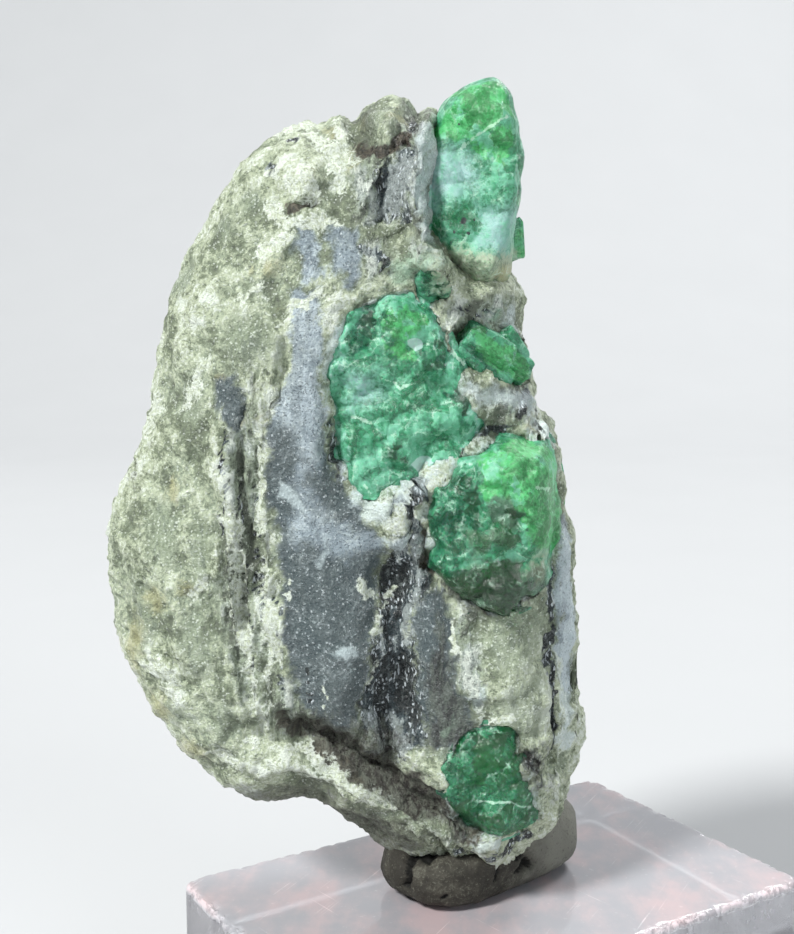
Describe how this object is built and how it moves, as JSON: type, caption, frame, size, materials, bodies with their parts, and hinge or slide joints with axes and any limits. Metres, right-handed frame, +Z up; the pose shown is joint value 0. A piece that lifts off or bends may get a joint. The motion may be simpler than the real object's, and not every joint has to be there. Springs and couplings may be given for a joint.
{
  "type": "emerald in matrix specimen on a display block",
  "caption": "Broken slab of mica schist and quartz carrying rough green emerald crystals, stood upright in a lump of mineral tack on a clear rectangular display block.",
  "frame": {"origin": "centre of the display block's underside, on the surface it stands on", "axes": "+Z up along the standing stone, +X to the right across its broad face, the crystal-bearing face looks along -Y"},
  "size_m": [0.0512, 0.0408, 0.07],
  "materials": {
    "schist": "rough mica schist with quartz bands, dark and silvery mica seams",
    "emerald": "translucent rough crystal, clear to milky green",
    "tack": "dull kneaded putty",
    "acrylic": "polished clear plastic, lightly scratched"
  },
  "bodies": {
    "root": {"matrix": "schist", "emerald_crown": "emerald", "emerald_edge_prism": "emerald", "emerald_bud": "emerald", "emerald_heart_cluster": "emerald", "emerald_flank_prisms": "emerald", "emerald_dome": "emerald", "emerald_foot": "emerald", "tack": "tack", "display_block": "acrylic"}
  },
  "joints": []
}
